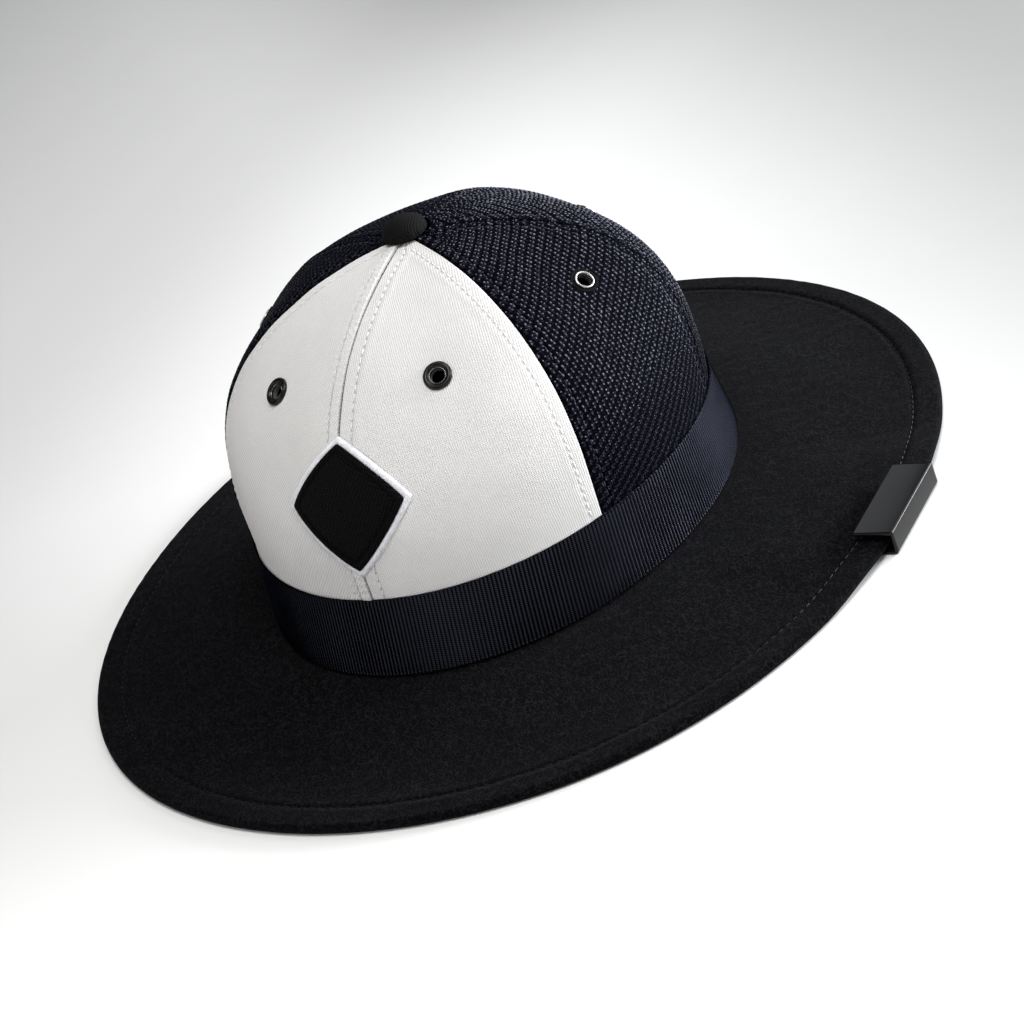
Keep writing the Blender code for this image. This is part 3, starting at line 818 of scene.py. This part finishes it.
def brim_points(angle, out, height):
    angle, out, height = np.broadcast_arrays(angle, out, height)
    climb = np.maximum(height, 0) / RIBBON_HEIGHT
    fuller = -BRIM_SIDE_FULLNESS * np.cos(2 * angle) - BRIM_SQUARENESS * np.cos(4 * angle)
    reach = out + fuller * smooth(out / HEM_START)
    half = [FOOT[i] + (CROWN[i] - FOOT[i]) * climb + reach for i in (0, 1)]
    z = BRIM_TOP + height + clip_hold(angle, out)
    return np.stack([half[0] * np.sin(angle), -half[1] * np.cos(angle), z], -1)


def hem_top(out):
    """The upper face over the folded hem: a sewn groove, then a soft swelling to the rim."""
    swollen = 0.00032 * smooth((out - BRIM_STITCH) / 0.0030)
    groove = 0.00034 * hump(out, BRIM_STITCH, 0.00075)
    return swollen - groove + 0.00012 * hump(out, BRIM_STITCH - 0.002, 0.0013)


def brim_section():
    """The brim's section as (out, height) pairs: down the collar, out to the rim, back beneath."""
    collar = -(PANEL_WALL + GAP)
    centre = collar + BREAK_RADIUS
    bend = (centre, BREAK_RADIUS)
    top = [(collar, COLLAR_HEIGHT), *arc(bend, (BREAK_RADIUS, -BREAK_RADIUS), -np.pi / 2, 0, 9)]
    outs = np.concatenate([
        np.linspace(centre, HEM_START - 0.004, 34)[1:], np.linspace(HEM_START - 0.0035, HEM_START - 0.0005, 7)
    ])
    span = HEM_START - centre
    top += [(o, -BRIM_RISE * smooth((o - centre) / span) + hem_top(o)) for o in outs]
    rim_half = (BRIM_TOP - BRIM_RISE + hem_top(BRIM_REACH)) / 2
    rim_deep = 0.0021
    groove = np.arange(HEM_START, HEM_START + 0.0030, 0.00022)
    hems = np.concatenate([groove, np.linspace(HEM_START + 0.0032, BRIM_REACH - rim_deep, 12)])
    top += [(o, -BRIM_RISE + hem_top(o)) for o in hems]
    rim = arc((BRIM_REACH - rim_deep, rim_half - BRIM_TOP), (rim_deep, rim_half), 0, np.pi, 16)[1:]
    under = [(o, -BRIM_TOP) for o in np.linspace(BRIM_REACH - rim_deep - 0.001, HEM_START + 0.0004, 6)]
    under += [(HEM_START, -BRIM_TOP + 0.0004), (HEM_START, -BRIM_RISE - FELT_WALL - 0.0002)]
    backs = np.linspace(HEM_START - 0.0004, centre, 26)
    under += [(o, -BRIM_RISE * smooth((o - centre) / span) - FELT_WALL) for o in backs]
    deep = BREAK_RADIUS + FELT_WALL
    under += [*arc(bend, (deep, -deep), 0, -np.pi / 2, 9)[1:], (collar - FELT_WALL, COLLAR_HEIGHT)]
    return np.array(top + rim + under)


def build_brim(material):
    section = brim_section()
    points = brim_points(turns_round(720), section[:, :1], section[:, 1:])
    on_top = (section > (0.002, -0.006)).all(1) & (np.arange(len(section)) < len(section) * 0.6)
    wide = 0.00010 * swell(points, 0.03, 72) * smooth((BRIM_REACH - section[:, :1]) / 0.01)
    points[..., 2] += on_top[:, None] * (0.00005 * swell(points, 0.007, 71) + wide)
    add_rings("brim_wool", points, material, "brim_felt", "brim", closed=True)


def build_brim_stitches(material):
    """Stitches through the hem; their thread is left pale near the clip and painted darker elsewhere: painted
    light and shade.
    """
    height = -BRIM_RISE + hem_top(BRIM_STITCH) + BRIM_STITCH_LIFT
    lengths = lengths_along(brim_points(FINE_TURNS, BRIM_STITCH, height))
    starts = np.arange(0, lengths[-1] - 0.003, BRIM_STITCH_PITCH)
    ends = [np.interp(starts + off, lengths, FINE_TURNS) for off in (0.0, BRIM_STITCH_LENGTH)]
    place = [brim_points(a, BRIM_STITCH, height) for a in ends]
    points, faces = thread_parts(*place, np.broadcast_to(UP, place[0].shape), BRIM_STITCH_RADIUS)
    # Painted light and shade: the thread stays pale near the clip, where light falls on it, and is painted
    # dark away from it.
    from_clip = off_angle(ends[0], CLIP_ANGLE)
    shade = np.repeat(0.96 * smooth((from_clip - 0.2) / 0.4), len(points) // len(starts))
    grain = shade[:, None] * (0, 0, 1)
    add_piece("brim_stitches", points, faces, material, "brim_felt", grain=grain)


# Eyelets, button, badge and clip

def crown_place(angle, climb):
    outward = crown_normal(np.array(angle), np.array(climb))
    side = unit(np.cross(UP, outward))
    place = np.eye(4)
    place[:3] = np.stack([side, np.cross(outward, side), outward, crown(angle, climb)], -1)
    return place


def build_eyelet(panel, enamel, bright, raw):
    """A rolled flange round a bore; on the knit, a bright raised lip inside a low dark flange."""
    bore, back = BORE_RADIUS, PANEL_WALL + 0.0009
    throat = [(bore, -0.0002), (bore, -0.0009), (bore, -back)]
    throat += [(0.0030, -back - 0.0006), (0.0038, -back - 0.0003), (0.0042, -back + 0.0003)]
    if panel.place == "front":
        slot = "eyelet_enamel"
        flange = arc((0.0042, 0.0002), (0.0010, 0.00095), 1.9, -0.75, 14)
        flange += [(0.00330, 0.00070), (0.00315, 0.00050), (0.00305, 0.00030)]
        lip = arc((0.00292, 0.00030), (0.00022, 0.00030), 1.4, -1.6, 12)
    else:
        slot = "eyelet_metal"
        flange = [(0.0052, -0.0003), (0.0052, 0.0001), (0.0050, 0.00032), (0.0046, 0.00042)]
        flange += [(0.0042, 0.0003), (0.0039, 0.0001), (0.0036, 0.0)]
        lip = arc((0.00322, 0.00042), (0.00040, 0.00048), 2.3, -1.7, 18)
    lip += [(bore + 0.00003, -0.0001), (bore + 0.00003, -0.0005)]
    for part, profile, segments, material, *nodes in (
        ("barrel", throat, 48, raw),
        ("grommet", flange, 64, enamel, panel.name("eyelet")),
        ("lip", lip, 64, bright),
    ):
        points = turned_points(profile, segments, crown_place(*panel.eyelet))
        add_rings(panel.name(part), points, material, slot, *nodes)


def build_button(material):
    """A cloth-covered dome, gathered into small pleats where it turns under."""
    edge, pinhole, segments = 0.0013, 0.00001, 96
    dome = [(pinhole, BUTTON_HEIGHT)]
    for t in np.linspace(0, np.pi / 2, 26)[1:]:
        dome.append((BUTTON_RADIUS * np.sin(t) ** 0.92, edge + (BUTTON_HEIGHT - edge) * np.cos(t) ** 0.86))
    tuck = [(0.00008, 0.0009), (0.0003, 0.00045), (0.0009, 0.0001)]
    shank = [(0.006, 0.0), (SHANK_RADIUS, 0.0), (SHANK_RADIUS, -SHANK_REACH), (pinhole, -SHANK_REACH)]
    profile = dome + [(BUTTON_RADIUS - inset, z) for inset, z in tuck] + shank
    place = np.eye(4)
    place[:3, 3] = APEX + GAP * UP
    turn = turns_round(segments)
    pleats = 0.00012 * np.sin(turn * 14 + 0.7 * np.sin(3 * turn))
    share = np.zeros(len(profile))
    share[16:28] = np.interp(np.arange(12), [0, 8, 11], [0, 1, 1])
    outward = np.stack([np.cos(turn), np.sin(turn), 0 * turn], -1)
    points = turned_points(profile, segments, place) + outward * (share[:, None] * pleats)[..., None]
    add_rings("covered_button", points, material, "button_twill", "top_button", grain=points - place[:3, 3])


def badge_points(turn, inset, out):
    """Points of the lozenge: round it by turn, in from its edge, and out from the crown."""
    wide, high = BADGE_HALF
    scale = 1 - inset / BADGE_TO_SIDE
    power = 2 / BADGE_EXPONENT
    across = wide * scale * np.sign(np.cos(turn)) * np.abs(np.cos(turn)) ** power
    up = high * scale * np.sign(np.sin(turn)) * np.abs(np.sin(turn)) ** power
    climbs = np.linspace(1, 1.8, 321)
    climb = np.interp(BADGE_LIFT + up, lengths_along(crown(0.0, climbs)), climbs)
    reach = APEX_BACK - crown(0 * climb, climb)[..., 1]
    return crown(across / reach, climb, np.broadcast_to(out, climb.shape))


def badge_turns(count):
    """Turns evenly spaced along the lozenge's outline, and the outline's length."""
    turn = np.linspace(0, FULL_TURN, 8001)
    return even_steps(badge_points(turn, 0.0, 0.0005), turn, count)


def badge_wraps(pitch, profile):
    """Turns round the lozenge for stitches of about this pitch, and their height there."""
    wraps = round(badge_turns(8)[1] / pitch)
    return badge_turns(wraps * len(profile))[0], np.tile(profile, wraps)


def build_badge_border(material):
    """White edging: a raised cord wrapped all round in satin stitch."""
    turn, ridge = badge_wraps(BORDER_WRAP, (0.0, 0.8, 1.0, 0.8))
    rows = []
    for t in np.linspace(0, 1, 11):
        inset = -0.0001 + (BADGE_BORDER + 0.0001) * t
        arch = np.sin(np.pi * np.clip(t * 1.04, 0, 1)) ** 0.45
        out = 0.0002 + 0.00105 * arch + 0.00016 * ridge * arch
        rows.append(badge_points(turn, inset - 0.00006 * ridge * (1 - t), out))
    add_rings("badge_edging", np.stack(rows), material, "badge_edge", "badge_border")


def build_badge_felt(material):
    """Black felt with an overcast edge, a sewn groove inside it and a quilted middle."""
    start, bead_width = BADGE_BORDER - 0.00035, 0.0020
    turn, ridge = badge_wraps(OVERCAST_WRAP, (0.0, 0.75, 1.0, 0.75))
    insets = np.array([0, 1, 3, 6, 9, 12, 15, 18, 20, 22, 24, 27, 31, 36]) / 10000
    quilted = len(insets)
    insets = np.concatenate([insets, np.linspace(0.0045, 0.0180, 12)])
    rows = []
    for inset in insets:
        if inset == 0:
            out = 0.0006 + 0 * ridge
        elif inset < bead_width:
            bead = np.sin(np.pi * (inset / bead_width)) ** 0.5
            out = 0.0011 + 0.00085 * bead + 0.00012 * ridge * bead
        else:
            out = 0.00125 + 0.00075 * smooth((inset - 0.0022) / 0.0014) + 0 * ridge
        here = min(start + inset, BADGE_TO_SIDE * 0.985)
        rows.append(badge_points(turn, here - 0.00014 * ridge * (inset < 0.0004), out))
    points = np.stack(rows)
    points[quilted:] += 0.00008 * swell(points[quilted:], 0.006, 81)[..., None] * np.array([0, -1.0, 0.3])
    count = points.shape[1]
    k, last = np.arange(count), (len(points) - 1) * count
    fan = np.stack([k + last, (k + 1) % count + last, 0 * k + last + count], -1)
    faces = [*ring_faces(*points.shape[:2]), fan]
    points = np.concatenate([points.reshape(-1, 3), points[-1].mean(0, keepdims=True)])
    grain = points * (1, 0, 0) + points[:, 2:] * (0, 1, 0)
    add_piece("badge_wool", points, faces, material, "badge_felt", "badge_felt", grain=grain)


def drawn_in(points, inset):
    """The outline moved inward along its own normals."""
    before, after = np.roll(points, 1, 0), np.roll(points, -1, 0)
    way = unit(after - before)
    return points + np.stack([-way[:, 1], way[:, 0]], -1) * inset


def build_clip(material):
    """A bent plate: its section is drawn corner by corner, and carried along the brim's edge."""
    fillet, inside = 0.00022, 0.0004
    inner, top = -CLIP_WALL, CLIP_HEIGHT - CLIP_WALL
    plate, jaw = inner - CLIP_PLATE_DEPTH, inner - CLIP_JAW_DEPTH
    r, bend = CLIP_CORNER, CLIP_CORNER * 0.5
    outline = []
    for x, y, start, stop, radius, steps in (
        (jaw + fillet, fillet, 2, 3, fillet, 4), (-r, r, 3, 4, r, 12),
        (-bend, CLIP_HEIGHT - bend, 0, 1, bend, 12), (plate + fillet, CLIP_HEIGHT - fillet, 1, 2, fillet, 4),
        (plate + fillet, top + fillet, 2, 3, fillet, 4), (inner - inside, top - inside, 1, 0, inside, 6),
        (inner - inside, CLIP_WALL + inside, 0, -1, inside, 6),
        (jaw + fillet, CLIP_WALL - fillet, 1, 2, fillet, 4),
    ):
        for t in np.linspace(start * math.pi / 2, stop * math.pi / 2, steps):
            outline.append((x + radius * math.cos(t), y + radius * math.sin(t)))
    outline = np.array(outline)
    ends = CLIP_LENGTH / 2
    stations = [(-ends, fillet), (fillet - ends, 0.0), (0.001 - ends, 0.0)]
    stations += [(-place, inset) for place, inset in stations[::-1]]
    rim, ahead, behind = brim_points(CLIP_ANGLE + np.array([0, 0.01, -0.01]), BRIM_REACH, 0.0)
    out_way = unit(np.cross(ahead - behind, UP) * (1, 1, 0))
    side_way = np.cross(out_way, UP)
    origin = np.array([rim[0], rim[1], 0]) + out_way * (CLIP_ROOM + CLIP_WALL)
    rows = []
    for place, inset in stations:
        loop = drawn_in(outline, inset)
        rows.append(origin + loop[:, :1] * out_way + loop[:, 1:] * UP + place * side_way)
    points = np.stack(rows)
    cap = np.arange(len(outline))[None]
    faces = [*ring_faces(*points.shape[:2]), cap, cap[:, ::-1] + (len(rows) - 1) * len(outline)]
    piece = add_piece("rim_clip", points, faces, material, "clip_metal", "brim_clip")
    piece.data.set_sharp_from_angle(angle=math.radians(50))


# Stage

def build_stage():
    half = 6.0
    corners = [(-half, -half, 0), (half, -half, 0), (half, half, 0), (-half, half, 0)]
    mesh = bpy.data.meshes.new("floor")
    mesh.from_pydata(corners, [], [(0, 1, 2, 3)])
    mesh.materials.append(floor_material())
    new_object("floor", mesh)


def build_camera():
    az, el, roll = (math.radians(v) for v in (VIEW_AZIMUTH, VIEW_HEIGHT, VIEW_ROLL))
    back = Vector((math.sin(az) * math.cos(el), -math.cos(az) * math.cos(el), math.sin(el)))
    level = Vector((math.cos(az), math.sin(az), 0))
    upright = back.cross(level)
    right = level * math.cos(roll) - upright * math.sin(roll)
    up = level * math.sin(roll) + upright * math.cos(roll)
    camera = new_object("camera", bpy.data.cameras.new("camera"))
    camera.data.lens = VIEW_LENS
    camera.data.sensor_width = SENSOR_WIDTH
    camera.data.clip_start = 0.01
    place = Matrix((right, up, back)).transposed().to_4x4()
    centre = Vector(VIEW_CENTRE) + back * VIEW_DISTANCE
    place.translation = centre + right * VIEW_SHIFT[0] + up * VIEW_SHIFT[1]
    camera.matrix_world = place
    bpy.context.scene.camera = camera


def add_light(name, place, power, size=(0.9, 0.9), colour=(1, 1, 1)):
    light = bpy.data.lights.new(name, "AREA")
    light.shape = "RECTANGLE"
    light.size, light.size_y = size
    light.energy = power
    light.color = colour
    lamp = new_object(name, light)
    lamp.location = place
    lamp.rotation_euler = (Vector(LIGHTS_AIM) - Vector(place)).to_track_quat("-Z", "Y").to_euler()


def build_lights():
    world = bpy.data.worlds.new("studio")
    world.use_nodes = True
    background = world.node_tree.nodes["Background"]
    background.inputs["Color"].default_value = (1.0, 1.0, 0.99, 1)
    background.inputs["Strength"].default_value = 0.03
    bpy.context.scene.world = world
    add_light("top_softbox", (0.40, -0.25, 1.57), 18.5)
    add_light("upper_back_softbox", (0.40, 1.10, 1.00), 8.0)
    add_light("low_back_strip", (1.12, 0.94, 0.32), 46.0, (1.1, 0.30), (0.94, 0.96, 1.0))
    add_light("low_left_back_softbox", (-0.80, 1.22, 0.84), 1.3, (0.7, 0.7), (0.92, 0.94, 1.0))
    add_light("right_softbox", (1.5, 0.1, 0.6), 4.0)
    add_light("front_softbox", (0.83, -1.12, 0.77), 2.2)
    add_light("front_left_softbox", (-0.75, -1.2, 0.75), 4.4)
    bpy.context.scene.view_settings.view_transform = "Standard"


def main():
    wool = felt_material("felt_wool", grey(0.0002, 0.0003), grey(0.0092, 0.0106), 0.022)
    badge_wool = twill_material(
        "badge_wool_felt", grey(0.0004), grey(0.0058, 0.0060), 0.0012, 0.00020, -32.0, 1.1, sheen=0.008
    )
    cream = (0.86, 0.85, 0.84)
    white = {
        "left": twill_material("off_white_canvas", (0.60, 0.585, 0.57), cream, 0.00082, 0.000035, 4.0, 1.0),
        "right": twill_material("off_white_twill", (0.55, 0.535, 0.52), cream, 0.00100, 0.00005, -38.0, 0.35),
    }
    dark, light = grey(0.0008), grey(0.0085, 0.0090)
    black = twill_material("black_twill", dark, light, 0.00085, 0.00006, 12.0, sheen=0.01)
    knit = knit_material("navy_knit")
    # The loops' pale colour is painted sheen: it stands in for the glints on the dark navy knit's raised
    # loops.
    loops = yarn_material("knit_loops", (0.060, 0.063, 0.084), (0.170, 0.176, 0.215), 0.6, shaded=True)
    white_thread = yarn_material("white_thread", (0.72, 0.71, 0.70), (0.88, 0.87, 0.86), 0.5, 0.1)
    navy_thread = yarn_material("navy_thread", (0.010, 0.012, 0.022), (0.03, 0.034, 0.055))
    grey_thread = yarn_material("grey_thread", grey(0.030, 0.034), grey(0.090, 0.096), shaded=True)
    edging = yarn_material("satin_edging", grey(0.74, 0.78), grey(0.88, 0.92), 0.45, 0.1)
    dark = grey(0.004, 0.0045)
    enamel = metal_material("black_enamel", dark, grey(0.008, 0.009), 0.26, 0.0, grit=0.06, gloss=0.25)
    dull = metal_material("dull_flange", dark, grey(0.009, 0.0095), 0.8, 0.0, gloss=0.02)
    raw = metal_material("raw_barrel", (0.13, 0.125, 0.115), (0.20, 0.19, 0.175), 0.5, 0.2)
    # A darker copy of the barrel metal for the knit's eyelets: painted shade in their bores.
    shaded_barrel_metal = metal_material("painted_shade_barrel", (0.06, 0.056, 0.052), (0.10, 0.094, 0.088), 0.5, 0.4)
    bright = metal_material("polished_lip", grey(0.42), grey(0.56, 0.55), 0.34, 1.0)
    glint = metal_material("dark_lip", grey(0.16), grey(0.24, 0.235), 0.26, 1.0)
    satin = metal_material(
        "satin_gunmetal", grey(0.0035, 0.0042), grey(0.006, 0.007), 0.20, 0.0, (1.0, 0.06, 1.0), 0.06, 0.20
    )

    build_brim(wool)
    build_brim_stitches(grey_thread)
    build_ribbon(ribbon_material("ribbed_ribbon"))
    white_rows, navy_rows = [], []
    for place in EYELETS:
        for side in ("left", "right"):
            panel = Panel(place, side)
            front = place == "front"
            build_panel(panel, white[side] if front else knit, "front_twill" if front else "crown_knit")
            build_eyelet(panel, *((enamel, glint, raw) if front else (dull, bright, shaded_barrel_metal)))
            rows = [seam_threads(panel, which) for which in (0, 1)]
            (white_rows if front else navy_rows).extend(rows)
            if not front:
                build_knots(panel, loops)
    add_piece("white_stitches", *join_parts(white_rows), white_thread, "front_twill")
    add_piece("navy_stitches", *join_parts(navy_rows), navy_thread, "crown_knit")
    build_button(black)
    build_badge_border(edging)
    build_badge_felt(badge_wool)
    build_clip(satin)
    build_stage()
    build_camera()
    build_lights()


main()
